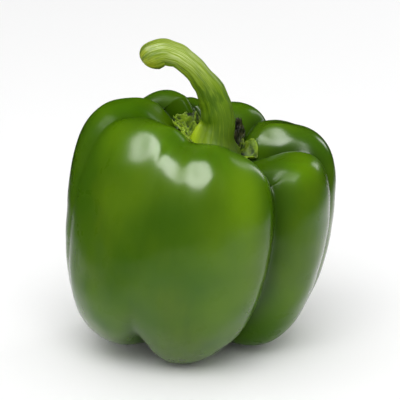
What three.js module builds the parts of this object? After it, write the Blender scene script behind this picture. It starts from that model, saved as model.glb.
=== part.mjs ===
// A bell pepper that stands upright on the feet of its lobes: the fruit, the calyx in the pit at its
// top, and the curved stem. Millimetres, +Z up. Angles are in degrees about the upright axis, from +X
// towards +Y.
import * as THREE from 'three';
import { mergeVertices } from 'three/addons/utils/BufferGeometryUtils.js';

// Lobes of the fruit, in order round the axis. A lobe bulges out to reach at height bellyAt, rolls over
// the top at height crestAt, crestReach out from the axis, and comes down to a foot, footReach out, whose
// underside is footAt above the ground. shoulder is a superellipse exponent: 2 is an ellipse, more is
// boxier.
const LOBES = [
  { angle: -145, reach: 45, bellyAt: 30, crestAt: 85.1, crestReach: 25,
    footReach: 16, footAt: 2, shoulder: 2.2 },
  { angle: -92, reach: 45, bellyAt: 44, crestAt: 79.4, crestReach: 23,
    footReach: 19, footAt: 0, shoulder: 2.45 },
  { angle: -58, reach: 41.5, bellyAt: 36.5, crestAt: 75, crestReach: 20.5,
    footReach: 13.5, footAt: 2.5, shoulder: 2.3 },
  { angle: -25, reach: 44.5, bellyAt: 41, crestAt: 71.9, crestReach: 31.5,
    footReach: 24.5, footAt: 2, shoulder: 2.6 },
  { angle: 17, reach: 46, bellyAt: 48, crestAt: 76.9, crestReach: 22.5,
    footReach: 22.7, footAt: 0, shoulder: 2.9 },
  { angle: 62, reach: 39, bellyAt: 40, crestAt: 80.9, crestReach: 22.5,
    footReach: 21, footAt: 0, shoulder: 2.9 },
  { angle: 97, reach: 47, bellyAt: 48.5, crestAt: 83.4, crestReach: 17.5,
    footReach: 21, footAt: 0.5, shoulder: 2.9 },
  { angle: 130, reach: 42, bellyAt: 44.5, crestAt: 87.8, crestReach: 17.5,
    footReach: 21, footAt: 0, shoulder: 2.9 },
  { angle: 170, reach: 46.5, bellyAt: 54, crestAt: 86.6, crestReach: 28.5,
    footReach: 23, footAt: 1, shoulder: 2.9 },
];
const LOBE_GRIP = 16; // how sharply one lobe's sizes give way to the next one's

// Creases between the lobes. Each runs from topAngle on the shoulder to bottomAngle at the feet. width is
// the angle in which it fades by a factor e, and the last three are its depths down the fruit.
const CREASES = [
  { topAngle: -42, bottomAngle: -53, width: 8.5, shoulder: 11, waist: 8, foot: 6.5 },
  { topAngle: 1, bottomAngle: -14, width: 7, shoulder: 7.5, waist: 2, foot: 1.5 },
  { topAngle: 47, bottomAngle: 52, width: 10, shoulder: 6, waist: 4.5, foot: 7.5 },
  { topAngle: 91, bottomAngle: 79, width: 8.5, shoulder: 8, waist: 0, foot: 0 },
  { topAngle: 113, bottomAngle: 117, width: 7, shoulder: 4.5, waist: 1.5, foot: 4 },
  { topAngle: 144, bottomAngle: 178, width: 7, shoulder: 7, waist: 3, foot: 6 },
  { topAngle: -170, bottomAngle: -162, width: 7.5, shoulder: 3, waist: 1, foot: 2 },
  { topAngle: -112, bottomAngle: -123, width: 9, shoulder: 0.5, waist: 0.3, foot: 9 },
];
const CREASE_SOFTNESS = 0.15; // rounding at the bottom of a crease, as a part of its width

// The fruit's axis leans: it passes through AXIS_FOOT on the ground and AXIS_TOP at height AXIS_SPAN.
const AXIS_SPAN = 80;
const AXIS_FOOT = new THREE.Vector2(-4.8, 11.6);
const AXIS_TOP = new THREE.Vector2(4.4, 6.2);
const PIT_SHIFT = 3.5; // the pit's middle lies this far from the axis, towards +X
const PIT_HEIGHT = 64; // floor of the pit that the stem stands in
const DIMPLE_HEIGHT = 10; // top of the dimple between the feet
const FLANK_SQUARENESS = 2.2; // superellipse exponent from the belly down to the foot
const FOOT_FLAT = 1; // height of skin that standing has pressed flat under the lowest feet

// Along a section, 0 is the middle of the pit and 1 the middle of the dimple.
const CREST = 0.2;
const BELLY = 0.53;
const FOOT = 0.87;
const CREASE_FOOT = 0.85; // where a crease has its foot depth
const CREASE_FADE_TOP = 0.17; // creases fade in over this much of the section, from the pit's middle
const CREASE_FADE_BOTTOM = 0.12; // and fade out over this much before the dimple's middle
const SLOPE_STEP = 0.002; // step along the section for working out its slope

// Calyx: a thick disc with a flat hub for the stem and ruffled sepals, lying in the pit. The sepals are
// the angles that their tips point at.
const SEPALS = [8, 65, 118, 152, 205, 270, 320];
const CALYX_REACH = 9.5; // from the middle to the notches between sepals
const SEPAL_LENGTH = 4;
const SEPAL_GRIP = 14; // how narrow each sepal is
const CALYX_CLIMB = 0.6; // how far up the pit's wall it may reach, as a part of the crest's distance
const CALYX_THICKNESS = 1.8;
const RIM_SQUARENESS = 4; // how blunt the edge of the sepals is
const CALYX_GAP = 0.9; // clear height between calyx and fruit
const HUB_HEIGHT = 9; // top of the hub above the pit's floor
const HUB_RADIUS = 8;
const HUB_SLOPE = 2.5; // width over which the hub runs out into the sepals

// Stem: its centre line, as offsets from the pit's floor, with its radius there. It stands on the hub and
// ends in a rounded, slightly swollen tip.
const STEM_GAP = 0.4; // between the hub and the stem's base
const STEM = [
  { x: 0.2, y: 0, z: HUB_HEIGHT + STEM_GAP, radius: 7.2 },
  { x: 0, y: 0, z: 13, radius: 6.2 },
  { x: -0.9, y: 0, z: 20, radius: 5.5 },
  { x: -2.2, y: 0, z: 24.6, radius: 4.9 },
  { x: -3.9, y: -0.1, z: 28.7, radius: 4.4 },
  { x: -6.3, y: -0.3, z: 32.3, radius: 4 },
  { x: -9.4, y: -0.6, z: 35.9, radius: 3.8 },
  { x: -13.2, y: -1, z: 38.9, radius: 4 },
  { x: -17.6, y: -1.5, z: 40.6, radius: 4.3 },
  { x: -21.6, y: -2, z: 39.7, radius: 4.3 },
  { x: -25.1, y: -2.4, z: 37.4, radius: 4 },
];
const TIP_LENGTH = 4.2; // length of the rounded end
const RIBS = 5;
const RIB_HEIGHT = 0.06; // as a part of the radius
const TIP_ROWS = 0.2; // part of the stem's rings that shape its rounded end
const BASE_ROWS = 0.05; // part that closes its flat base

const degrees = THREE.MathUtils.degToRad;
const clamp = THREE.MathUtils.clamp;
const mix = THREE.MathUtils.lerp;
const ease = (x) => THREE.MathUtils.smoothstep(x, 0, 1);
const halfWave = (x) => (1 - Math.cos(Math.PI * clamp(x, 0, 1))) / 2;

/** A lobe property at any angle: the lobes' own values, each weighted by how near that lobe is. */
function lobeValue(name, angle) {
  let sum = 0;
  let weights = 0;
  for (const lobe of LOBES) {
    const weight = Math.exp(LOBE_GRIP * (Math.cos(angle - degrees(lobe.angle)) - 1));
    sum += weight * lobe[name];
    weights += weight;
  }
  return sum / weights;
}

/** A quarter of a superellipse: t from 0 to 1 turns from (0, 1) to (1, 0). */
function quarterTurn(t, exponent) {
  const across = Math.sin(t * Math.PI / 2);
  const up = Math.cos(t * Math.PI / 2);
  const scale = (across ** exponent + up ** exponent) ** (-1 / exponent);
  return { across: across * scale, up: up * scale };
}

/** The uncreased section at one angle: distance from the axis, and height. */
function sectionPoint(angle, along) {
  const reach = lobeValue('reach', angle);
  const bellyAt = lobeValue('bellyAt', angle);
  const crestAt = lobeValue('crestAt', angle);
  const crestReach = lobeValue('crestReach', angle);
  const footAt = lobeValue('footAt', angle);
  const footReach = lobeValue('footReach', angle);
  if (along < CREST) {
    const t = along / CREST;
    return new THREE.Vector2(crestReach * t, mix(PIT_HEIGHT, crestAt, halfWave(t)));
  }
  if (along < BELLY) {
    const turn = quarterTurn((along - CREST) / (BELLY - CREST), lobeValue('shoulder', angle));
    return new THREE.Vector2(mix(crestReach, reach, turn.across), mix(bellyAt, crestAt, turn.up));
  }
  if (along < FOOT) {
    const turn = quarterTurn((along - BELLY) / (FOOT - BELLY), FLANK_SQUARENESS);
    return new THREE.Vector2(mix(footReach, reach, turn.up), mix(bellyAt, footAt, turn.across));
  }
  const t = (1 - along) / (1 - FOOT);
  return new THREE.Vector2(footReach * t, mix(DIMPLE_HEIGHT, footAt, halfWave(t)));
}

/** How deep the creases cut at one angle and one place along the section. */
function creaseDepth(angle, along) {
  const shoulderPart = 1 - ease((along - CREST) / (BELLY - CREST));
  const footPart = ease((along - BELLY) / (CREASE_FOOT - BELLY));
  const waistPart = 1 - shoulderPart - footPart;
  const drift = ease((along - CREST) / (FOOT - CREST));
  let depth = 0;
  for (const crease of CREASES) {
    const line = degrees(mix(crease.topAngle, crease.bottomAngle, drift));
    const turn = THREE.MathUtils.euclideanModulo(angle - line + Math.PI, 2 * Math.PI) - Math.PI;
    const distance = Math.hypot(turn / degrees(crease.width), CREASE_SOFTNESS) - CREASE_SOFTNESS;
    const deepest = crease.shoulder * shoulderPart + crease.waist * waistPart + crease.foot * footPart;
    depth += deepest * Math.exp(-distance);
  }
  return depth * ease(along / CREASE_FADE_TOP) * ease((1 - along) / CREASE_FADE_BOTTOM);
}

/** A point of the fruit's skin. */
function skinPoint(angle, along) {
  const point = sectionPoint(angle, along);
  const ahead = sectionPoint(angle, Math.min(along + SLOPE_STEP, 1));
  const behind = sectionPoint(angle, Math.max(along - SLOPE_STEP, 0));
  const slope = ahead.sub(behind).normalize();
  const depth = creaseDepth(angle, along);
  const reach = point.x + slope.y * depth;
  const height = point.y - slope.x * depth;
  const axis = AXIS_FOOT.clone().lerp(AXIS_TOP, height / AXIS_SPAN);
  const pitShift = PIT_SHIFT * (1 - halfWave(along / CREST));
  const x = axis.x + pitShift + reach * Math.cos(angle);
  const y = axis.y + reach * Math.sin(angle);
  return new THREE.Vector3(x, y, Math.max(height, FOOT_FLAT));
}

/** A closed skin: a sphere's grid, laid from the top middle over the outside to the bottom middle. */
function wrappedSphere(columns, rows, surfacePoint) {
  const geometry = new THREE.SphereGeometry(1, columns, rows);
  const grid = geometry.getAttribute('uv');
  const position = geometry.getAttribute('position');
  for (let i = 0; i < position.count; i++) {
    const point = surfacePoint(grid.getX(i) * 2 * Math.PI, 1 - grid.getY(i));
    position.setXYZ(i, point.x, point.y, point.z);
  }
  geometry.deleteAttribute('normal');
  geometry.deleteAttribute('uv');
  return mergeVertices(geometry);
}

function makeFruit() {
  const material = new THREE.MeshStandardMaterial({ color: 0x4f7d12, roughness: 0.22, metalness: 0 });
  const mesh = new THREE.Mesh(wrappedSphere(84, 38, skinPoint), material);
  mesh.name = 'fruit';
  return mesh;
}

/** The calyx: out over its top to the edge of the sepals, then back underneath, following the pit. */
function calyxPoint(angle, along) {
  const onTop = along < 0.5;
  const outward = onTop ? along * 2 : 2 - along * 2;
  let edge = CALYX_REACH;
  for (const sepal of SEPALS) {
    edge += SEPAL_LENGTH * Math.exp(SEPAL_GRIP * (Math.cos(angle - degrees(sepal)) - 1));
  }
  const crestReach = lobeValue('crestReach', angle);
  const fromMiddle = outward * Math.min(edge, CALYX_CLIMB * crestReach);
  const point = skinPoint(angle, CREST * fromMiddle / crestReach);
  const halfThickness = CALYX_THICKNESS / 2 * Math.sqrt(1 - outward ** RIM_SQUARENESS);
  const middle = point.z + CALYX_GAP + CALYX_THICKNESS / 2;
  if (onTop) {
    const slope = ease((fromMiddle - HUB_RADIUS) / HUB_SLOPE);
    point.z = mix(PIT_HEIGHT + HUB_HEIGHT, middle + halfThickness, slope);
  } else {
    point.z = middle - halfThickness;
  }
  return point;
}

function makeCalyx() {
  const material = new THREE.MeshStandardMaterial({ color: 0x7a9a2c, roughness: 0.6, metalness: 0 });
  const mesh = new THREE.Mesh(wrappedSphere(44, 16, calyxPoint), material);
  mesh.name = 'calyx';
  return mesh;
}

/** Puts the stem's rings on its centre line: a domed tip first, then down the shaft, then a flat base. */
function stemSkin() {
  const line = new THREE.CatmullRomCurve3(STEM.map(({ x, y, z }) => new THREE.Vector3(x, y, z)));
  const radii = new THREE.SplineCurve(STEM.map(({ radius }, i) => new THREE.Vector2(i, radius)));
  const tipPart = TIP_LENGTH / line.getLength();
  const floor = skinPoint(0, 0);
  return (angle, along) => {
    const tipTurn = Math.min(along / TIP_ROWS, 1) * Math.PI / 2;
    const shaft = clamp((along - TIP_ROWS) / (1 - TIP_ROWS - BASE_ROWS), 0, 1);
    const fromTip = tipPart * (1 - Math.cos(tipTurn)) + (1 - tipPart) * shaft;
    const baseClosing = clamp((1 - along) / BASE_ROWS, 0, 1);
    const ribs = 1 + RIB_HEIGHT * Math.cos(RIBS * angle);
    const radius = radii.getPoint(1 - fromTip).y * Math.sin(tipTurn) * baseClosing * ribs;
    const ahead = line.getTangent(1 - fromTip);
    const side = new THREE.Vector3(0, 1, 0).cross(ahead).normalize();
    const back = ahead.clone().cross(side);
    const point = line.getPoint(1 - fromTip).add(floor);
    point.addScaledVector(side, radius * Math.cos(angle));
    return point.addScaledVector(back, radius * Math.sin(angle));
  };
}

function makeStem() {
  const material = new THREE.MeshStandardMaterial({ color: 0x84a028, roughness: 0.5, metalness: 0 });
  const mesh = new THREE.Mesh(wrappedSphere(16, 32, stemSkin()), material);
  mesh.name = 'stem';
  return mesh;
}

const group = new THREE.Group();
group.add(makeFruit(), makeCalyx(), makeStem());

// The origin is the middle of the object's footprint, on the ground.
const box = new THREE.Box3().setFromObject(group);
const middle = box.getCenter(new THREE.Vector3());
group.position.set(-middle.x, -middle.y, -box.min.z);
group.updateMatrixWorld(true);

export default group;
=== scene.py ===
import math

import bpy
import numpy as np
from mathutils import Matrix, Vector, noise


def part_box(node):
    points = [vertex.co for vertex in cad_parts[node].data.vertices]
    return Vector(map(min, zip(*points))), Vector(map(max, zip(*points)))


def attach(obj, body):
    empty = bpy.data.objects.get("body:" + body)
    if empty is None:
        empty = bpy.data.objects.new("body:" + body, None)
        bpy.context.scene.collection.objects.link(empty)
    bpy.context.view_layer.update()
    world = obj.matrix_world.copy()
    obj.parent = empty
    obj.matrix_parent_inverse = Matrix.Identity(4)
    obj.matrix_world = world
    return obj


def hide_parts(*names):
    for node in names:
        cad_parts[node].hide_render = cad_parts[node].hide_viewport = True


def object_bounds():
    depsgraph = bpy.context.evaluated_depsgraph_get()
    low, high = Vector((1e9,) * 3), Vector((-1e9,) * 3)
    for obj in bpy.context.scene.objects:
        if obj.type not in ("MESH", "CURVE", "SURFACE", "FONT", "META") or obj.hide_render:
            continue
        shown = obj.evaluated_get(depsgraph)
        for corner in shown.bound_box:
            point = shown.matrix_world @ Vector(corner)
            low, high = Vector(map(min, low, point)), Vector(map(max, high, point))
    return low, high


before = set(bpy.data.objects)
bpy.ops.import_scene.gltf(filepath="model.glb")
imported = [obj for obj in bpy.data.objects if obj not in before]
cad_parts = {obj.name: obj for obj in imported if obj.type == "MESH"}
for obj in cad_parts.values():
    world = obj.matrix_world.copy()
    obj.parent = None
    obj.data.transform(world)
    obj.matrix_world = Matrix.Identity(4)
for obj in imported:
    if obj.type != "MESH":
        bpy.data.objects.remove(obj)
cad_low, cad_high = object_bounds()


# Camera. It stands about a long arm's length in front of the pepper and a little above it, and looks
# down on the front shoulder, so that the pit and the foot of the stem show behind it.
CAMERA_HEIGHT_ANGLE = math.radians(18.9)
CAMERA_DISTANCE = 0.7
LENS_MM = 189
SENSOR_MM = 36
AIM_OFF_CENTRE = (-0.0003, -0.0091, -0.0003)
aim = (cad_low + cad_high) / 2 + Vector(AIM_OFF_CENTRE)

camera = bpy.data.objects.new("camera", bpy.data.cameras.new("camera"))
bpy.context.scene.collection.objects.link(camera)
back = Vector((0, -math.cos(CAMERA_HEIGHT_ANGLE), math.sin(CAMERA_HEIGHT_ANGLE)))
camera.location = aim + back * CAMERA_DISTANCE
camera.rotation_mode = "QUATERNION"
camera.rotation_quaternion = (-back).to_track_quat("-Z", "Y")
camera.data.lens = LENS_MM
camera.data.sensor_width = SENSOR_MM
bpy.context.scene.camera = camera


# Fruit. The pepper's body is one hollow berry with a waxy skin, grown as nine bulging lobes round a leaning
# axis, with creases between them, a deep pit round the stem and a dimple under the feet. Its skin is laid
# over a section that runs from the pit over the shoulder and the belly to the foot, one for every angle.

# angle, reach of the belly, belly height, crest height, crest reach, foot reach, foot height, then how square
# the shoulder is, as a superellipse exponent: degrees and mm
LOBES = np.array([
    (-145, 45, 30, 85.1, 25, 16, 2, 2.2),
    (-92, 45, 44, 79.4, 23, 19, 0, 2.45),
    (-58, 41.5, 36.5, 75, 20.5, 13.5, 2.5, 2.3),
    (-25, 44.5, 41, 71.9, 31.5, 24.5, 2, 2.6),
    (17, 46, 48, 76.9, 22.5, 22.7, 0, 2.9),
    (62, 39, 40, 80.9, 22.5, 21, 0, 2.9),
    (97, 47, 48.5, 83.4, 17.5, 21, 0.5, 2.9),
    (130, 42, 44.5, 87.8, 17.5, 21, 0, 2.9),
    (170, 46.5, 54, 86.6, 28.5, 23, 1, 2.9),
])
LOBE_GRIP = 16
# angle at the shoulder and at the feet, half width, then the depth at the shoulder, waist and foot
CREASES = (
    (-42, -53, 8.5, 11, 8, 6.5),
    (1, -14, 7, 7.5, 2, 1.5),
    (47, 52, 10, 6, 4.5, 7.5),
    (91, 79, 8.5, 8, 0, 0),
    (113, 117, 7, 4.5, 1.5, 4),
    (144, 178, 7, 7, 3, 6),
    (-170, -162, 7.5, 3, 1, 2),
    (-112, -123, 9, 0.5, 0.3, 9),
)
CREASE_SOFTNESS = 0.15
# creases this many mm deep or more get the full dark line of painted shade
DARK_CREASE_DEPTH = 5
# the axis passes through the first point on the ground, and through the second one this many mm higher
AXIS_SPAN = 80
AXIS_FOOT = (-4.8, 11.6)
AXIS_TOP = (4.4, 6.2)
PIT_SHIFT = 3.5
PIT_HEIGHT = 64
DIMPLE_HEIGHT = 10
FLANK_SQUARENESS = 2.2
FOOT_FLAT = 1
# places along the section, which runs from 0 in the middle of the pit to 1 in the middle of the dimple
CREST, BELLY, CREASE_FOOT, FOOT = 0.2, 0.53, 0.85, 0.87
# the creases fade in over the first of these parts of the section, and out over the second
CREASE_PIT_FADE, CREASE_DIMPLE_FADE = 0.17, 0.12
# the section's slope is measured from this far behind a point to this far ahead
SLOPE_STEP = 0.002


def ease(x):
    """0 to 1, setting off and arriving gently."""
    x = np.clip(x, 0, 1)
    return x * x * (3 - 2 * x)


def half_wave(x):
    """0 to 1 along half a cosine wave."""
    return (1 - np.cos(np.pi * np.clip(x, 0, 1))) / 2


def mix(a, b, t):
    """From a to b as t runs from 0 to 1."""
    return a + (b - a) * t


def turn_from(angle, middle):
    """How far round each angle is from a middle given in degrees, the short way, in radians."""
    return (angle - np.radians(middle) + np.pi) % (2 * np.pi) - np.pi


def bell(angle, middle, half_width):
    """1 at a middle, falling off to nothing within about two half widths, both in degrees."""
    return np.exp(-((turn_from(angle, middle) / math.radians(half_width)) ** 2))


def near(angle, middle, grip):
    """1 at a middle given in degrees, and smaller the further round, faster with a tighter grip."""
    return np.exp(grip * (np.cos(angle - np.radians(middle)) - 1))


def lobe_values(angle):
    """The lobes' sizes at any angle, each lobe weighted by how near it is."""
    weights = near(angle[..., None], LOBES[:, 0], LOBE_GRIP)
    sizes = weights @ LOBES[:, 1:] / weights.sum(-1, keepdims=True)
    return np.moveaxis(sizes, -1, 0)


def quarter_turn(t, squareness):
    """How far across and up a squared quarter circle is, from its top to its side."""
    across, up = np.sin(t * np.pi / 2), np.cos(t * np.pi / 2)
    scale = (across**squareness + up**squareness) ** (-1 / squareness)
    return across * scale, up * scale


def section(angle, along):
    """Distance from the axis and height of the section, before the creases."""
    reach, belly_at, crest_at, crest_reach, foot_reach, foot_at, squareness = lobe_values(angle)
    t = np.clip(along / CREST, 0, 1)
    r, z = crest_reach * t, mix(PIT_HEIGHT, crest_at, half_wave(t))
    across, up = quarter_turn(np.clip((along - CREST) / (BELLY - CREST), 0, 1), squareness)
    r = np.where(along > CREST, mix(crest_reach, reach, across), r)
    z = np.where(along > CREST, mix(belly_at, crest_at, up), z)
    across, up = quarter_turn(np.clip((along - BELLY) / (FOOT - BELLY), 0, 1), FLANK_SQUARENESS)
    r = np.where(along > BELLY, mix(foot_reach, reach, up), r)
    z = np.where(along > BELLY, mix(belly_at, foot_at, across), z)
    t = np.clip((1 - along) / (1 - FOOT), 0, 1)
    r = np.where(along > FOOT, foot_reach * t, r)
    z = np.where(along > FOOT, mix(DIMPLE_HEIGHT, foot_at, half_wave(t)), z)
    return r, z


def crease_depth(angle, along):
    """How deep the creases cut, and how near the deepest line of one each point is, from 0 to 1; the
    nearness darkens the creases as painted shade.
    """
    shoulder_part = 1 - ease((along - CREST) / (BELLY - CREST))
    foot_part = ease((along - BELLY) / (CREASE_FOOT - BELLY))
    waist_part = 1 - shoulder_part - foot_part
    drift = ease((along - CREST) / (FOOT - CREST))
    depth = np.zeros(np.broadcast(angle, along).shape)
    nearness = np.zeros_like(depth)
    for top, bottom, width, shoulder, waist, foot in CREASES:
        turn = turn_from(angle, mix(top, bottom, drift))
        distance = np.hypot(turn / math.radians(width), CREASE_SOFTNESS) - CREASE_SOFTNESS
        deepest = shoulder * shoulder_part + waist * waist_part + foot * foot_part
        depth += deepest * np.exp(-distance)
        # the dark line along the deepest creases is painted shade
        dark = np.clip(deepest / DARK_CREASE_DEPTH, 0, 1)
        nearness = np.maximum(nearness, np.exp(-2 * distance) * dark)
    fade = ease(along / CREASE_PIT_FADE) * ease((1 - along) / CREASE_DIMPLE_FADE)
    return depth * fade, nearness * fade


def skin(angle, along):
    """Points of the fruit's skin in mm, for arrays of angles and places along the section."""
    angle, along = np.broadcast_arrays(angle, along)
    r, z = section(angle, along)
    r_ahead, z_ahead = section(angle, np.clip(along + SLOPE_STEP, 0, 1))
    r_behind, z_behind = section(angle, np.clip(along - SLOPE_STEP, 0, 1))
    slope = np.hypot(r_ahead - r_behind, z_ahead - z_behind)
    depth = crease_depth(angle, along)[0] / slope
    r, z = r + (z_ahead - z_behind) * depth, z - (r_ahead - r_behind) * depth
    shift = PIT_SHIFT * (1 - half_wave(along / CREST))
    x = mix(AXIS_FOOT[0], AXIS_TOP[0], z / AXIS_SPAN) + shift + r * np.cos(angle)
    y = mix(AXIS_FOOT[1], AXIS_TOP[1], z / AXIS_SPAN) + r * np.sin(angle)
    return np.stack([x, y, z], -1)


def angles_round(columns):
    """The angles of a grid's columns, as a column of their own."""
    return np.linspace(-np.pi, np.pi, columns, endpoint=False)[:, None]


def closed_mesh(name, points, **layers):
    """A closed mesh over a grid of points: columns round it, rows from one middle to the other."""
    columns, rows = points.shape[:2]
    inner = points[:, 1:-1].reshape(-1, 3)
    corners = np.concatenate([points[:1, 0], inner, points[:1, -1]])
    index = 1 + np.arange(columns * (rows - 2)).reshape(columns, rows - 2)
    beside = np.roll(index, -1, 0)
    quads = np.stack([index[:, :-1], index[:, 1:], beside[:, 1:], beside[:, :-1]], -1).reshape(-1, 4)
    last = len(corners) - 1
    fans = [(0, a, b) for a, b in zip(index[:, 0].tolist(), beside[:, 0].tolist())]
    fans += [(last, b, a) for a, b in zip(index[:, -1].tolist(), beside[:, -1].tolist())]
    mesh = bpy.data.meshes.new(name)
    mesh.from_pydata(corners.tolist(), [], quads.tolist() + fans)
    mesh.polygons.foreach_set("use_smooth", np.ones(len(mesh.polygons), bool))
    for layer, values in layers.items():
        flat = np.concatenate([values[:1, 0], values[:, 1:-1].ravel(), values[:1, -1]])
        mesh.attributes.new(layer, "FLOAT", "POINT").data.foreach_set("value", flat.astype(np.float32))
    mesh.update()
    piece = bpy.data.objects.new(name, mesh)
    bpy.context.scene.collection.objects.link(piece)
    return piece


FRUIT_COLUMNS, FRUIT_ROWS = 400, 210
FAIRING_PASSES = 14
angle = angles_round(FRUIT_COLUMNS)
along = np.linspace(0, 1, FRUIT_ROWS)[None, :]
fruit_points = skin(angle, along)
for _ in range(FAIRING_PASSES):
    fruit_points[:, 1:-1] = (fruit_points[:, :-2] + 2 * fruit_points[:, 1:-1] + fruit_points[:, 2:]) / 4


def outward_normals(points):
    """Unit normals of a grid that is closed round its columns."""
    round_it = np.roll(points, -1, 0) - np.roll(points, 1, 0)
    normals = np.cross(np.gradient(points, axis=1), round_it)
    return normals / np.maximum(np.linalg.norm(normals, axis=-1, keepdims=True), 1e-9)


# shallow flutes down the shoulders: angle, half width and depth
FLUTES = ((-117, 3.5, 0.7), (-104, 3, 0.35), (-86, 4, 0.4), (30, 6, 0.5), (158, 6, 0.8))
# where along the section the flutes start, are at their deepest, and have run out again
FLUTES_START, FLUTES_FULL, FLUTES_FADE, FLUTES_END = 0.2, 0.29, 0.34, 0.6
flute_depth = sum(depth * bell(angle, middle, half_width) for middle, half_width, depth in FLUTES)
flute_depth = flute_depth * ease((along - FLUTES_START) / (FLUTES_FULL - FLUTES_START))
flute_depth = flute_depth * (1 - ease((along - FLUTES_FADE) / (FLUTES_END - FLUTES_FADE)))

SWELL_WAVES = 12
# brings the sum of that many waves back to about 1
SWELL_DIVISOR = 3.5


def swell(points, size, seed):
    """Slow, smooth swelling from -1 to 1 over the points, with lumps about size mm apart."""
    total = np.zeros(points.shape[:-1])
    random = np.random.default_rng(seed)
    for _ in range(SWELL_WAVES):
        direction = random.normal(size=3)
        direction *= 2 * np.pi / size / np.linalg.norm(direction) * random.uniform(0.7, 1.3)
        total += np.sin(points @ direction + random.uniform(0, 2 * np.pi))
    return total / SWELL_DIVISOR


def pointing(azimuth, elevation):
    """The direction at an angle round the upright axis and one above the level, in degrees."""
    turn, rise = math.radians(azimuth), math.radians(elevation)
    return np.array([math.cos(turn) * math.cos(rise), math.sin(turn) * math.cos(rise), math.sin(rise)])


# broad flats that the creases leave on the shoulders: the angle and the place along the section of the
# middle, the radius in mm, then the direction each faces, as an angle round the axis and one upwards, and
# how flat it is
FLATS = (
    (-137, 0.322, 9, -127, 40, 0.6),
    (-93, 0.315, 5, -100, 41, 0.7),
    (14, 0.2, 6, -98, 42, 0.9),
)
# how sharply a flat ends
FLAT_EDGE = 3
for middle, place_along, radius, azimuth, elevation, flatness in FLATS:
    column = round((middle + 180) / 360 * FRUIT_COLUMNS)
    away = fruit_points - fruit_points[column, round(place_along * (FRUIT_ROWS - 1))]
    hold = np.exp(-((np.linalg.norm(away, axis=-1) / radius) ** FLAT_EDGE))
    facing = pointing(azimuth, elevation)
    fruit_points -= facing * ((away @ facing) * hold * flatness)[..., None]

# slow swellings all over the skin, as the distance between them and their height in mm
SWELLINGS = ((22, 0.16), (11, 0.07))
SWELL_FIRST_SEED = 3
# they fade out over this part of the section at each end
SWELL_FADE = 0.1
lift = sum(
    height * swell(fruit_points, size, seed)
    for seed, (size, height) in enumerate(SWELLINGS, SWELL_FIRST_SEED)
)
lift = lift * ease(along / SWELL_FADE) * ease((1 - along) / SWELL_FADE) - flute_depth
fruit_points += outward_normals(fruit_points) * lift[..., None]

# the shared frame is in metres from under the middle of the whole pepper, and the section is in mm from
# the foot of its axis
MM = 1000
fruit_low, fruit_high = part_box("fruit")
own_low, own_high = fruit_points.min((0, 1)), fruit_points.max((0, 1))
to_frame = (np.array(fruit_low) + np.array(fruit_high)) / 2 * MM - (own_low + own_high) / 2
to_frame[2] = -FOOT_FLAT

fruit_points[..., 2] = np.maximum(fruit_points[..., 2], FOOT_FLAT)
# how much painted shade darkens each point near the deepest line of the creases
crease_layer = crease_depth(angle, along)[1]
everywhere = np.zeros_like(crease_layer)
# cloudy patches of the skin, paler or deeper green, partly its own tone and partly painted light and painted
# shade: angle and place along the section, half sizes, strength
PALE_PATCHES = (
    (-71, 0.37, 11, 0.1, 0.8),
    (-155, 0.3, 16, 0.06, 0.5),
    (-30, 0.3, 12, 0.06, 0.3),
    (150, 0.4, 18, 0.1, 0.4),
)
DEEP_PATCHES = (
    (-106, 0.43, 17, 0.06, 0.75),
    (-125, 0.52, 12, 0.08, 0.35),
    (40, 0.45, 14, 0.07, 0.4),
    (100, 0.36, 12, 0.05, 0.4),
    # these two darken the underside by the feet as painted shade
    (-42, 0.74, 16, 0.1, 0.75),
    (-125, 0.75, 9, 0.07, 0.5),
)
# where the wax is thin and the skin hardly shines
DULL_PATCHES = (
    (72, 0.13, 16, 0.08, 0.95),
    (100, 0.12, 7, 0.07, 0.7),
    (138, 0.2, 24, 0.12, 1.0),
    (176, 0.2, 26, 0.1, 0.95),
    (-172, 0.3, 18, 0.07, 0.85),
    (-33, 0.265, 17, 0.1, 0.98),
    (-8, 0.3, 8, 0.05, 0.8),
    (-15, 0.22, 8, 0.04, 0.8),
    (-105, 0.33, 3.5, 0.06, 0.6),
    (-119, 0.2, 8, 0.045, 0.9),
    (4, 0.15, 9, 0.035, 0.5),
    (50, 0.27, 12, 0.08, 0.7),
    (-72, 0.265, 13, 0.045, 0.93),
    (-42, 0.74, 18, 0.1, 0.85),
    (-125, 0.75, 10, 0.07, 0.7),
)
# how sharply a patch ends
PATCH_EDGE = 1.3
# the pit's skin is dull as far as this place along the section, and shines this much further on
DULL_PIT_END, DULL_PIT_FADE = 0.1, 0.06


def cloud(patches):
    """The patches' strengths over the skin, added up."""
    total = everywhere
    for middle, place_along, half_width, half_length, strength in patches:
        across = turn_from(angle, middle) / math.radians(half_width)
        spread = across**2 + ((along - place_along) / half_length) ** 2
        total = total + strength * np.exp(-(spread**PATCH_EDGE))
    return total


dull_pit = 1 - ease((along - DULL_PIT_END) / DULL_PIT_FADE)
fruit = closed_mesh(
    "fruit_skin",
    (fruit_points + to_frame) / MM,
    crease=crease_layer,
    pale=cloud(PALE_PATCHES),
    deep=cloud(DEEP_PATCHES),
    dull=np.clip(cloud(DULL_PATCHES) + dull_pit, 0, 1),
    along=everywhere + along,
    east=everywhere + np.cos(angle),
    north=everywhere + np.sin(angle),
)


def shader(name):
    """A new material: itself, its node tree and its principled shader."""
    material = bpy.data.materials.new(name)
    material.use_nodes = True
    return material, material.node_tree, material.node_tree.nodes["Principled BSDF"]


def node(tree, kind, **inputs):
    """Adds a node. A socket is named with _ for each space, and takes a value or another node's socket."""
    made = tree.nodes.new("ShaderNode" + kind)
    for key, value in inputs.items():
        socket = made.inputs[key.replace("_", " ")]
        if isinstance(value, bpy.types.NodeSocket):
            tree.links.new(value, socket)
        else:
            socket.default_value = value
    return made


def layer(tree, name):
    """A number that the mesh holds at each point."""
    made = tree.nodes.new("ShaderNodeAttribute")
    made.attribute_name = name
    return made.outputs["Fac"]


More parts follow.
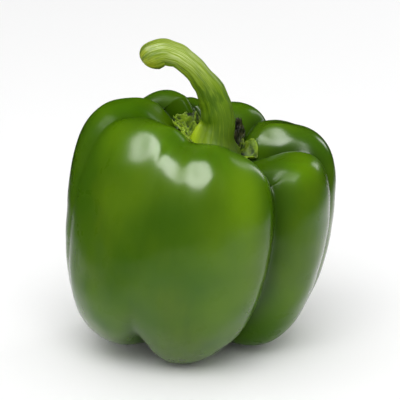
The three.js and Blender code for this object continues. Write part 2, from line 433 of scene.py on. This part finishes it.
def ramp(tree, factor, *stops):
    """Colours or greys at places from 0 to 1."""
    made = tree.nodes.new("ShaderNodeValToRGB")
    tree.links.new(factor, made.inputs[0])
    elements = made.color_ramp.elements
    while len(elements) < len(stops):
        elements.new(0.5)
    for element, (place, colour) in zip(elements, stops):
        element.position = place
        element.color = (*colour, 1) if isinstance(colour, tuple) else (colour, colour, colour, 1)
    return made.outputs[0]


def blend(tree, factor, first, second):
    """The first colour turned into the second by a factor from 0 to 1."""
    made = tree.nodes.new("ShaderNodeMix")
    made.data_type = "RGBA"
    for socket, value in ((made.inputs[0], factor), (made.inputs[6], first), (made.inputs[7], second)):
        if isinstance(value, bpy.types.NodeSocket):
            tree.links.new(value, socket)
        elif isinstance(value, tuple):
            socket.default_value = (*value, 1)
        else:
            socket.default_value = value
    return made.outputs[2]


def noise_value(tree, place, scale, detail, roughness=0.5):
    """Cloudy noise from 0 to 1, with that many lumps to a metre of place."""
    return node(tree, "TexNoise", Vector=place, Scale=scale, Detail=detail, Roughness=roughness).outputs[0]


def grain_place(tree):
    """A place that runs round a piece and along it, so that noise can follow its growth."""
    layers = {"X": layer(tree, "east"), "Y": layer(tree, "north"), "Z": layer(tree, "along")}
    return node(tree, "CombineXYZ", **layers).outputs[0]


# the skin's greens along the section, from the pit to the dimple, darkened in the pit and towards the dimple
# as painted shade and lighter on the shoulder as painted light, then those of its markings
SECTION_GREENS = (
    (0.04, (0.022, 0.060, 0.0006)),
    (0.2, (0.080, 0.192, 0.0005)),
    (0.3, (0.072, 0.172, 0.0005)),
    (0.38, (0.054, 0.120, 0.0005)),
    (0.6, (0.053, 0.112, 0.0006)),
    (0.8, (0.050, 0.104, 0.0015)),
    (1.0, (0.030, 0.060, 0.002)),
)
STREAK_GREEN = (0.072, 0.138, 0.0006)
DARK_MOTTLE_GREEN = (0.030, 0.098, 0.0004)
LIGHT_MOTTLE_GREEN = (0.086, 0.170, 0.0006)
PALE_GREEN = (0.122, 0.240, 0.0006)
DEEP_GREEN = (0.026, 0.080, 0.0004)
CREASE_GREEN = (0.024, 0.064, 0.0005)
# how fine each noise is, as lumps to a metre, or for the streaks to a unit of the grain's place
STREAKS, DARK_MOTTLE, LIGHT_MOTTLE, WAX_MOTTLE, WAX_RIPPLE = 14, 38, 30, 160, 420

skin_material, tree, surface = shader("waxy_green_skin")
place = node(tree, "TexCoord").outputs["Object"]
# painted shade in the pit and under the feet, painted light on the shoulder
colour = ramp(tree, layer(tree, "along"), *SECTION_GREENS)
streaks = ramp(tree, noise_value(tree, grain_place(tree), STREAKS, 3), (0.35, 0.0), (0.7, 0.45))
colour = blend(tree, streaks, colour, STREAK_GREEN)
dark_mottle = ramp(tree, noise_value(tree, place, DARK_MOTTLE, 2), (0.42, 0.0), (0.62, 0.65))
colour = blend(tree, dark_mottle, colour, DARK_MOTTLE_GREEN)
light_mottle = ramp(tree, noise_value(tree, place, LIGHT_MOTTLE, 2.5), (0.48, 0.0), (0.7, 0.75))
colour = blend(tree, light_mottle, colour, LIGHT_MOTTLE_GREEN)
# paler patches, partly the skin's own tone and partly painted light
colour = blend(tree, layer(tree, "pale"), colour, PALE_GREEN)
# deeper green patches of the skin, and painted shade by the feet
colour = blend(tree, layer(tree, "deep"), colour, DEEP_GREEN)
# painted shade along the creases
colour = blend(tree, layer(tree, "crease"), colour, CREASE_GREEN)
tree.links.new(colour, surface.inputs["Base Color"])
gloss = ramp(tree, noise_value(tree, place, WAX_MOTTLE, 3), (0.3, 0.25), (0.7, 0.36))
tree.links.new(gloss, surface.inputs["Roughness"])
surface.inputs["Specular IOR Level"].default_value = 0.03
surface.inputs["Coat IOR"].default_value = 1.38
shine = ramp(tree, layer(tree, "dull"), (0.0, 1.0), (1.0, 0.03))
tree.links.new(shine, surface.inputs["Coat Weight"])
surface.inputs["Coat Roughness"].default_value = 0.22
ripple = noise_value(tree, place, WAX_RIPPLE, 2)
bump = node(tree, "Bump", Strength=0.25, Distance=0.00008, Height=ripple)
tree.links.new(bump.outputs[0], surface.inputs["Normal"])
fruit.data.materials.append(skin_material)
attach(fruit, "root")
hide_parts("fruit")


# Calyx. The green collar that once held the flower: a thin, leathery disc that sits tilted in the pit, with
# pointed sepals that have crumpled into ruffles against the pit's wall. It grows out of the foot of the
# stem, and it has dried and browned at the back right, where it is also painted near black as the shade
# of the gap beside the stem. Its fold bottoms carry painted shade and its ridges painted light.

# angle each sepal points at, how far its tip stands out beyond the disc, and how high its ruffle stands
SEPALS = (
    (12, 4.3, 0.1),
    (56, 4, 2),
    (108, 3, 0.2),
    (136, 4, 0.6),
    (164, 5, 1.2),
    (205, 4, 1),
    (265, 3, 0.6),
    (322, 3.5, 0.8),
)
SEPAL_GRIP = 26
CALYX_REACH = 9.5
RIM_RAGGEDNESS, RIM_WAVES, RIM_SEED = 0.5, 40, 11
# it goes no further up the pit's wall than this part of the way to the crest
CALYX_CLIMB = 0.62
# the collar that the sepals spring from: its height over the pit's floor, how much it falls for each mm to
# the right, and how sharply it meets the wall
COLLAR_HEIGHT = 6.4
COLLAR_TILT = 0.36
COLLAR_SHARPNESS = 1.5
# the folds start this far out, and are full this many mm further
COLLAR_EDGE, COLLAR_BLEND = 7.5, 3
CALYX_THICKNESS = 0.7
CALYX_EDGE_ROUNDNESS = 6
# how far the calyx lies above the pit's wall
CALYX_LIFT = 0.35
# the folds' size in mm, how much taller they are than wide, and their height on the disc and on a ruffle
CRUMPLE_SIZE = 1.6
CRUMPLE_STRETCH = (1, 1, 0.6)
DISC_FOLDS, RUFFLE_FOLDS, RUFFLE_PLEATS = 0.7, 0.5, 0.35
# a ruffle is full from this part of the way out
RUFFLE_FULL = 0.9
# the pleats' number, how much they waver, with how many waves, and how they lean as they run outwards
PLEATS, PLEAT_WAVER, PLEAT_WAVES, PLEAT_LEAN, PLEAT_SEED = 26, 3, 9, 0.35, 5
# how much higher a ruffle stands at its rim, and the place outwards where that starts
RIM_RISE, RIM_RISE_START = 0.6, 0.7
# one sepal is smooth and cupped: its angle, grip and smoothness, then how its cup rises
SMOOTH_ANGLE, SMOOTH_GRIP, SMOOTHNESS = 12, 22, 0.8
CUP_LOW, CUP_RISE, CUP_BEND = 0.25, 1.2, 4
# the dried part, which also carries painted shade of the gap beside the stem: its angle and grip, the
# reach where it ends and the mm it fades over
DRY_ANGLE, DRY_GRIP, DRY_REACH, DRY_FADE = 56, 9, 17, 4
CALYX_COLUMNS, CALYX_ROWS = 520, 150

pit_floor = skin(np.zeros(1), np.zeros(1))[0]
angle = angles_round(CALYX_COLUMNS)
along = np.linspace(0, 1, CALYX_ROWS)[None, :]
# the grid runs out over the top of the disc, round its rim and back underneath
outward = 1 - np.abs(2 * along - 1)
tip_reach, ruffle = 0, 0
for middle, length, height in SEPALS:
    share = near(angle, middle, SEPAL_GRIP)
    tip_reach, ruffle = tip_reach + length * share, ruffle + height * share


def crumple(points, size):
    """Sharp folds from 0 to about 2, with lumps about size mm apart."""
    dimension, lacunarity, octaves, offset, gain = 1, 2.1, 4, 1, 1.6
    folds = [
        noise.ridged_multi_fractal(Vector(point) / size, dimension, lacunarity, octaves, offset, gain)
        for point in points.reshape(-1, 3)
    ]
    return np.array(folds).reshape(points.shape[:-1])


def ring_noise(angle, turns, seed):
    """A wavering value from -1 to 1 round the axis, that closes on itself."""
    random = np.random.default_rng(seed)
    waves = [(n, random.normal(), random.uniform(0, 2 * np.pi)) for n in range(2, turns)]
    return sum(height * np.sin(n * angle + start) for n, height, start in waves) / math.sqrt(turns)


reach = CALYX_REACH + tip_reach + RIM_RAGGEDNESS * ring_noise(angle, RIM_WAVES, RIM_SEED)
reach = np.minimum(reach, CALYX_CLIMB * lobe_values(angle)[3]) * outward
wall = skin(angle, CREST * reach / lobe_values(angle)[3])
collar = pit_floor[2] + COLLAR_HEIGHT - COLLAR_TILT * (wall[..., 0] - pit_floor[0])
wall[..., 2] += CALYX_LIFT
above_wall = (collar - wall[..., 2]) * COLLAR_SHARPNESS
wall[..., 2] = wall[..., 2] + np.log1p(np.exp(above_wall)) / COLLAR_SHARPNESS
folds = crumple(wall * CRUMPLE_STRETCH, CRUMPLE_SIZE)
cup = CUP_LOW + CUP_RISE * outward**CUP_BEND
folds = mix(folds, cup, SMOOTHNESS * near(angle, SMOOTH_ANGLE, SMOOTH_GRIP))
waver = PLEAT_WAVER * ring_noise(angle, PLEAT_WAVES, PLEAT_SEED)
pleats = 0.5 + 0.5 * np.sin(PLEATS * angle + waver + PLEAT_LEAN * reach)
past_collar = ease((reach - COLLAR_EDGE) / COLLAR_BLEND)
crumpled_ruffle = ruffle * (RUFFLE_PLEATS * pleats + RUFFLE_FOLDS * folds)
height = past_collar * (DISC_FOLDS * folds + crumpled_ruffle * ease(outward / RUFFLE_FULL))
height = height + RIM_RISE * ruffle * ease((outward - RIM_RISE_START) / (1 - RIM_RISE_START)) ** 2
half_thickness = CALYX_THICKNESS / 2 * np.sqrt(np.clip(1 - outward**CALYX_EDGE_ROUNDNESS, 0, 1))
side = np.where(along < 0.5, 1, -1)
calyx_points = wall + (0, 0, 1) * (height + side * half_thickness)[..., None]
calyx = closed_mesh(
    "calyx_ruffles",
    (calyx_points + to_frame) / MM,
    # fold heights colour it: painted shade in fold bottoms, painted light on ridges and the cupped rim
    fold=np.clip(folds / 2, 0, 1),
    dry=near(angle, DRY_ANGLE, DRY_GRIP) * ease((DRY_REACH - reach) / DRY_FADE),
)

# greens from the bottom of a fold to its ridge, darker in the bottoms as painted shade and lighter on the
# ridges as painted light, and browns of the dried tissue, darkest where they stand for painted shade
FOLD_GREENS = (
    (0.25, (0.008, 0.022, 0.001)),
    (0.48, (0.055, 0.115, 0.002)),
    (0.66, (0.230, 0.370, 0.006)),
    (0.9, (0.480, 0.640, 0.080)),
)
DRY_BROWNS = (
    (0.4, (0.004, 0.005, 0.001)),
    (0.6, (0.035, 0.035, 0.008)),
    (0.75, (0.22, 0.20, 0.09)),
)
LIME_GREEN = (0.230, 0.360, 0.006)
FLECK_BROWN = (0.030, 0.045, 0.004)
LIME_MOTTLE, FLECKS, LEATHER_GRAIN = 500, 260, 900

calyx_material, tree, surface = shader("crumpled_calyx")
place = node(tree, "TexCoord").outputs["Object"]
colour = ramp(tree, layer(tree, "fold"), *FOLD_GREENS)
mottle = noise_value(tree, place, LIME_MOTTLE, 3)
colour = blend(tree, ramp(tree, mottle, (0.4, 0.0), (0.65, 0.6)), colour, LIME_GREEN)
flecks = ramp(tree, noise_value(tree, place, FLECKS, 4), (0.56, 0.0), (0.7, 0.7))
colour = blend(tree, flecks, colour, FLECK_BROWN)
# dried browns, near black where they stand for painted shade of the gap beside the stem
colour = blend(tree, layer(tree, "dry"), colour, ramp(tree, mottle, *DRY_BROWNS))
tree.links.new(colour, surface.inputs["Base Color"])
surface.inputs["Roughness"].default_value = 0.5
surface.inputs["Specular IOR Level"].default_value = 0.15
leather_grain = noise_value(tree, place, LEATHER_GRAIN, 4)
bump = node(tree, "Bump", Strength=0.5, Distance=0.0002, Height=leather_grain)
tree.links.new(bump.outputs[0], surface.inputs["Normal"])
calyx.data.materials.append(calyx_material)
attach(calyx, "root")
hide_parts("calyx")


# Stem. A tough, ribbed green stalk that flares into ridges over the calyx, leans over in an arch and ends in
# a rounded, swollen tip where it was broken from the plant. Its skin is satin, with fine lengthwise fibres.

# centre line as offsets from the pit's floor, with its radius there, from the tip to the foot
STEM = np.array([
    (-25.1, -2.4, 37.4, 4),
    (-21.6, -2, 39.7, 4.3),
    (-17.6, -1.5, 40.6, 4.3),
    (-13.2, -1, 38.9, 4.0),
    (-9.3, -0.6, 35.9, 3.85),
    (-6.2, -0.3, 32.2, 3.9),
    (-3.7, -0.1, 28.7, 4.3),
    (-1.7, 0, 24.6, 4.9),
    (-0.3, 0, 20, 5.4),
    (0.2, 0, 16.5, 5.7),
    (0.1, 0, 13.5, 6.0),
    (0, 0, 11.2, 6.8),
    (0, 0, 9.4, 7.9),
    (0.1, 0, 7.6, 9.0),
    (0.2, 0, 5, 9.4),
    (0.2, 0, 3, 9),
])
# the rounded tip's length and how blunt it is, then the parts of the rows that the tip and the foot take
TIP_LENGTH = 3.9
TIP_BLUNTNESS = 0.9
TIP_PART, FOOT_PART = 0.1, 0.03
LINE_STEPS, SMOOTHING_PASSES = 400, 60
# angle of each ridge on the flare, its half width, and how far it stands out
RIDGES = (
    (192, 13, 1.1),
    (243, 12, 0.5),
    (290, 14, 0.4),
    (333, 12, 0.1),
    (0, 38, -0.9),
    (70, 15, 0.7),
    (128, 14, 0.8),
)
# below this height the stem is all flare, and the flare has gone this many mm higher
FLARE_HEIGHT, FLARE_BLEND = 9, 9
# how much of the ridges runs on up the stalk, and how much thinner the flare is between them
RIDGES_ON_STALK, FLARE_HOLLOW = 0.12, 0.35
# fine ribs: height, number round the stem, where the first one is, and their twist for each mm
RIBS = ((0.07, 7, 0.6, 0), (0.05, 13, 2, 0.03))
RIB_NOISE, RIB_WAVES, RIB_SEED = 0.03, 40, 21
# slow waves along the stem: height, how fast they come, how they lean round it, and where they start
WAVE_HEIGHT, WAVE_RATE, WAVE_LEAN, WAVE_START = 0.1, 0.9, 2, 8
# lumps and patches: angle, half width, distance from the tip, half length and height
TIP_LUMP = (180, 50, 4.2, 4.6, 1.1)
BEND_LUMP = (0, 30, 29.6, 2.3, 0.5)
# a pale patch along the arch's front top that is a painted highlight
WEATHERED_PATCH = (-65, 55, 13, 9, 1)
# the foot tilts with the collar up to this height, and stands straight this many mm higher
TILTED_HEIGHT, TILT_BLEND = 12, 7
STEM_COLUMNS, STEM_ROWS = 260, 300

angle = angles_round(STEM_COLUMNS)
along = np.linspace(0, 1, STEM_ROWS)
gaps = np.linalg.norm(np.diff(STEM[:, :3], axis=0), axis=1)
travelled = np.concatenate([[0], np.cumsum(gaps)])
turn = np.clip(along / TIP_PART, 0, 1) * np.pi / 2
shaft = np.clip((along - TIP_PART) / (1 - TIP_PART - FOOT_PART), 0, 1)
distance = TIP_LENGTH * (1 - np.cos(turn)) + (travelled[-1] - TIP_LENGTH) * shaft
closing = np.sin(turn) ** TIP_BLUNTNESS * np.clip((1 - along) / FOOT_PART, 0, 1)
steps = np.linspace(0, travelled[-1], LINE_STEPS)
smooth = np.stack([np.interp(steps, travelled, STEM[:, i]) for i in range(4)], -1)
for _ in range(SMOOTHING_PASSES):
    smooth[1:-1] = (smooth[:-2] + 2 * smooth[1:-1] + smooth[2:]) / 4
line = np.stack([np.interp(distance, steps, smooth[:, i]) for i in range(4)], -1)
tangent = np.gradient(smooth[:, :3], axis=0)
tangent = np.stack([np.interp(distance, steps, tangent[:, i]) for i in range(3)], -1)
ahead = -tangent / np.linalg.norm(tangent, axis=1, keepdims=True)
right = np.cross((0, 1, 0), ahead)
right /= np.linalg.norm(right, axis=1, keepdims=True)
behind = np.cross(ahead, right)
stem_height = line[:, 2]
on_flare = 1 - ease((stem_height - FLARE_HEIGHT) / FLARE_BLEND)
ridges = sum(out * bell(angle, middle, half_width) for middle, half_width, out in RIDGES)
ribs = sum(
    height * np.sin(number * angle + first + twist * distance)
    for height, number, first, twist in RIBS
)
ribs = ribs + RIB_NOISE * ring_noise(angle, RIB_WAVES, RIB_SEED)
waves = WAVE_HEIGHT * np.sin(distance * WAVE_RATE + WAVE_LEAN * np.cos(angle))
waves = waves * ease(distance / WAVE_START)
radius = line[:, 3] + ridges * (RIDGES_ON_STALK + on_flare) - FLARE_HOLLOW * on_flare + ribs + waves


def lump(middle, half_width, middle_distance, half_length, height):
    """A rounded lump on one side of the stem, or as strong a patch of colour."""
    lengthwise = np.exp(-(((distance - middle_distance) / half_length) ** 2))
    return height * bell(angle, middle, half_width) * lengthwise


tip_lump = lump(*TIP_LUMP)
radius = (radius + tip_lump + lump(*BEND_LUMP)) * closing
outwards = np.cos(angle)[..., None] * right + np.sin(angle)[..., None] * behind
stem_points = pit_floor + line[:, :3] + radius[..., None] * outwards
tilted = 1 - ease((stem_height - TILTED_HEIGHT) / TILT_BLEND)
stem_points[..., 2] -= COLLAR_TILT * tilted * (stem_points[..., 0] - pit_floor[0])

# the flare's side darkened as painted shade, and its side lightened as painted light, where mostly the
# ridges take the painted light: angle and grip
OLIVE_ANGLE, OLIVE_GRIP = -35, 2.5
BRIGHT_ANGLE, BRIGHT_GRIP = 208, 9
BETWEEN_RIDGES, ALL_ROUND, BRIGHTNESS = 0.4, 0.05, 1.1
bright_side = ALL_ROUND + BRIGHTNESS * near(angle, BRIGHT_ANGLE, BRIGHT_GRIP)
everywhere = np.zeros_like(radius)
stem = closed_mesh(
    "stem_skin",
    (stem_points + to_frame) / MM,
    east=everywhere + np.cos(angle),
    north=everywhere + np.sin(angle),
    along=everywhere + distance / travelled[-1],
    shade=np.clip(tip_lump, 0, 1) ** 2,
    olive=on_flare * near(angle, OLIVE_ANGLE, OLIVE_GRIP),
    weathered=lump(*WEATHERED_PATCH),
    # painted light on the flare's ridges, strongest on its lit side
    flare=np.clip((BETWEEN_RIDGES + ridges) * on_flare * bright_side, 0, 1),
)

# greens from the tip to the foot, then those of the fibres, the streaks, the painted highlight on the
# arch, the flare's painted shade and painted light, and the painted shade under the tip
STEM_GREENS = (
    (0.0, (0.290, 0.330, 0.003)),
    (0.12, (0.240, 0.330, 0.008)),
    (0.4, (0.190, 0.290, 0.008)),
    (0.62, (0.110, 0.205, 0.003)),
    (0.8, (0.080, 0.165, 0.002)),
    (0.93, (0.170, 0.310, 0.003)),
)
DARK_FIBRE_GREEN = (0.075, 0.150, 0.002)
PALE_FIBRE_GREEN = (0.330, 0.430, 0.030)
LONG_STREAK_GREEN = (0.045, 0.115, 0.001)
WEATHERED_GREENS = ((0.4, (0.50, 0.60, 0.22)), (0.56, (0.24, 0.34, 0.02)))
OLIVE_GREEN = (0.055, 0.100, 0.003)
BRIGHT_RIDGE_GREEN = (0.380, 0.540, 0.004)
TIP_SHADE_GREEN = (0.030, 0.065, 0.003)
# how fine the fibres and the long streaks are, twice across the stem and then along it
FIBRE_SCALE, LONG_STREAK_SCALE = (15, 15, 6), (2.6, 2.6, 7)

stem_material, tree, surface = shader("fibrous_stem")
grain = grain_place(tree)
colour = ramp(tree, layer(tree, "along"), *STEM_GREENS)
fibre_place = node(tree, "Mapping", Vector=grain, Scale=FIBRE_SCALE).outputs[0]
fibres = noise_value(tree, fibre_place, 1, 4, 0.6)
colour = blend(tree, ramp(tree, fibres, (0.42, 0.0), (0.62, 0.3)), colour, DARK_FIBRE_GREEN)
colour = blend(tree, ramp(tree, fibres, (0.34, 0.3), (0.46, 0.0)), colour, PALE_FIBRE_GREEN)
streak_place = node(tree, "Mapping", Vector=grain, Scale=LONG_STREAK_SCALE).outputs[0]
long_streaks = ramp(tree, noise_value(tree, streak_place, 1, 3, 0.55), (0.48, 0.0), (0.62, 0.75))
colour = blend(tree, long_streaks, colour, LONG_STREAK_GREEN)
colour = blend(tree, layer(tree, "weathered"), colour, ramp(tree, fibres, *WEATHERED_GREENS))
# painted shade on one side of the flare
colour = blend(tree, layer(tree, "olive"), colour, OLIVE_GREEN)
# painted light on the ridges of the flare
colour = blend(tree, layer(tree, "flare"), colour, BRIGHT_RIDGE_GREEN)
colour = blend(tree, layer(tree, "shade"), colour, TIP_SHADE_GREEN)
tree.links.new(colour, surface.inputs["Base Color"])
roughness = ramp(tree, fibres, (0.35, 0.36), (0.6, 0.54))
tree.links.new(roughness, surface.inputs["Roughness"])
surface.inputs["Specular IOR Level"].default_value = 0.08
surface.inputs["Coat Weight"].default_value = 0.25
surface.inputs["Coat Roughness"].default_value = 0.3
bump = node(tree, "Bump", Strength=0.6, Distance=0.0002, Height=fibres)
tree.links.new(bump.outputs[0], surface.inputs["Normal"])
stem.data.materials.append(stem_material)
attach(stem, "root")
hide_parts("stem")


# Floor and light. A pale, plain surface under a large soft box above the front shoulder, with a small one
# far back on the right that draws thin bright lines along the right-hand edges. Only the near part of the
# floor shows in the fruit's gloss, as if dark cloth lay round a small board.

FLOOR_RADIUS = 3
FLOOR_MIDDLE = (0.045, 0.035)
# the floor leaves the gloss between these radii, in rings whose dull part grows
NEAR_FLOOR_RADIUS, FADED_RADIUS, BANDS = 0.1, 0.26, 16
RING_CORNERS = 96
floor_material, tree, surface = shader("pale_board")
surface.inputs["Base Color"].default_value = (0.9, 0.9, 0.9, 1)
surface.inputs["Roughness"].default_value = 0.9


def flat_rings(name, rings):
    """Flat rings on the ground, each from an inner to an outer radius. The first one may be a disc."""
    turns = np.linspace(0, 2 * np.pi, RING_CORNERS, endpoint=False)
    corners, faces = [], []
    for inner, outer in rings:
        start = len(corners)
        x, y = FLOOR_MIDDLE
        for r in (inner, outer):
            corners += [(x + r * math.cos(a), y + r * math.sin(a), 0) for a in turns]
        inside = range(start, start + RING_CORNERS)
        outside = range(start + RING_CORNERS, start + 2 * RING_CORNERS)
        if inner:
            for i in range(RING_CORNERS):
                j = (i + 1) % RING_CORNERS
                faces.append((inside[i], outside[i], outside[j], inside[j]))
        else:
            faces.append(outside)
    mesh = bpy.data.meshes.new(name)
    mesh.from_pydata(corners, [], faces)
    floor = bpy.data.objects.new(name, mesh)
    bpy.context.scene.collection.objects.link(floor)
    mesh.materials.append(floor_material)
    return floor


edges = np.linspace(NEAR_FLOOR_RADIUS, FADED_RADIUS, BANDS + 1).tolist()
splits = [mix(edges[i], edges[i + 1], 1 - (i + 0.5) / BANDS) for i in range(BANDS)]
flat_rings("near_floor", [(0, edges[0])] + list(zip(edges, splits)))
dull_rings = list(zip(splits, edges[1:])) + [(FADED_RADIUS, FLOOR_RADIUS)]
flat_rings("far_floor", dull_rings).visible_glossy = False


LIT_POINT = (0, 0, 0.05)
WORLD_BRIGHTNESS = 0.85


def soft_box(name, azimuth, elevation, distance, width, height, brightness):
    """An area light that looks at the pepper's middle from a direction given in degrees."""
    direction = Vector(pointing(azimuth, elevation))
    light = bpy.data.lights.new(name, "AREA")
    light.shape = "RECTANGLE"
    light.size, light.size_y = width, height
    light.energy = brightness * math.pi * width * height
    box = bpy.data.objects.new(name, light)
    bpy.context.scene.collection.objects.link(box)
    box.location = Vector(LIT_POINT) + direction * distance
    box.rotation_mode = "QUATERNION"
    box.rotation_quaternion = direction.to_track_quat("Z", "Y")
    return box


# the key's glow and its gleam in the wax are two lights, so that each can have its own place and strength
soft_box("key_light", -95, 55, 0.95, 0.8, 0.55, 3.2).visible_glossy = False
soft_box("key_gleam", -135, 60, 0.9, 1.2, 0.5, 14).visible_diffuse = False
soft_box("back_light", 48, 20, 1.2, 0.25, 0.45, 4.5)
world = bpy.data.worlds.new("studio")
world.use_nodes = True
world.node_tree.nodes["Background"].inputs["Color"].default_value = (1, 1, 1, 1)
world.node_tree.nodes["Background"].inputs["Strength"].default_value = WORLD_BRIGHTNESS
world.cycles_visibility.glossy = False
bpy.context.scene.world = world
bpy.context.scene.view_settings.view_transform = "Standard"
